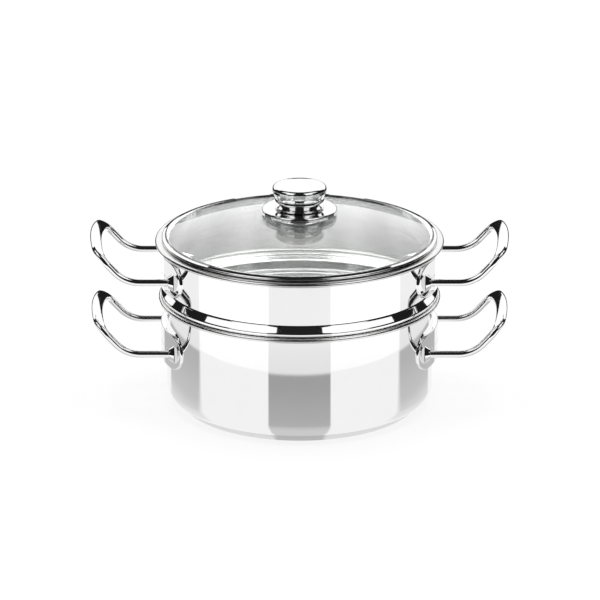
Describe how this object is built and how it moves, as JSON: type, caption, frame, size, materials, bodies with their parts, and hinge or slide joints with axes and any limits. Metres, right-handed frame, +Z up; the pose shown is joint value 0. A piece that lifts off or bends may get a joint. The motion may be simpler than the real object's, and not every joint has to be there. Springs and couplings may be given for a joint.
{
  "type": "steamer pot",
  "caption": "Two-handled stockpot with a perforated steamer pot nested on its rim and a domed glass lid with a turned knob. The lid lifts off the steamer and the steamer lifts off the pot.",
  "frame": {"origin": "centre of the base's underside, on the surface the pot stands on", "axes": "+Z up along the vessels' shared axis; +X towards one pair of loop handles, so the handles lie along X; -Y is the side a viewer stands on"},
  "size_m": [0.3778, 0.261, 0.207],
  "materials": {
    "polished_steel": "mirror-polished stainless steel",
    "base_steel": "fine turned stainless steel",
    "aluminium_core": "rolled aluminium, hidden inside the base",
    "clear_glass": "clear toughened glass",
    "silicone": "translucent silicone washer",
    "screw_steel": "plain steel"
  },
  "bodies": {
    "pot": {"pot_body": "polished_steel", "pot_base_core": "aluminium_core", "pot_base_cap": "base_steel", "pot_handle_plate_left": "polished_steel", "pot_handle_plate_right": "polished_steel", "pot_handle_left": "polished_steel", "pot_handle_right": "polished_steel"},
    "steamer": {"steamer_body": "polished_steel", "steamer_handle_plate_left": "polished_steel", "steamer_handle_plate_right": "polished_steel", "steamer_handle_left": "polished_steel", "steamer_handle_right": "polished_steel"},
    "lid": {"lid_glass": "clear_glass", "lid_band": "polished_steel", "lid_hub": "polished_steel", "lid_seal_lower": "silicone", "lid_seal_upper": "silicone", "knob_dish": "polished_steel", "knob_neck": "polished_steel", "knob_collar": "polished_steel", "knob_bowl": "polished_steel", "knob_cap": "polished_steel", "knob_screw": "screw_steel"}
  },
  "joints": [
    {"name": "steamer_lift", "type": "slide", "parent": "pot", "child": "steamer", "axis": [0, 0, 1], "range_m": [0, 0.12]},
    {"name": "lid_lift", "type": "slide", "parent": "steamer", "child": "lid", "axis": [0, 0, 1], "range_m": [0, 0.12]}
  ]
}
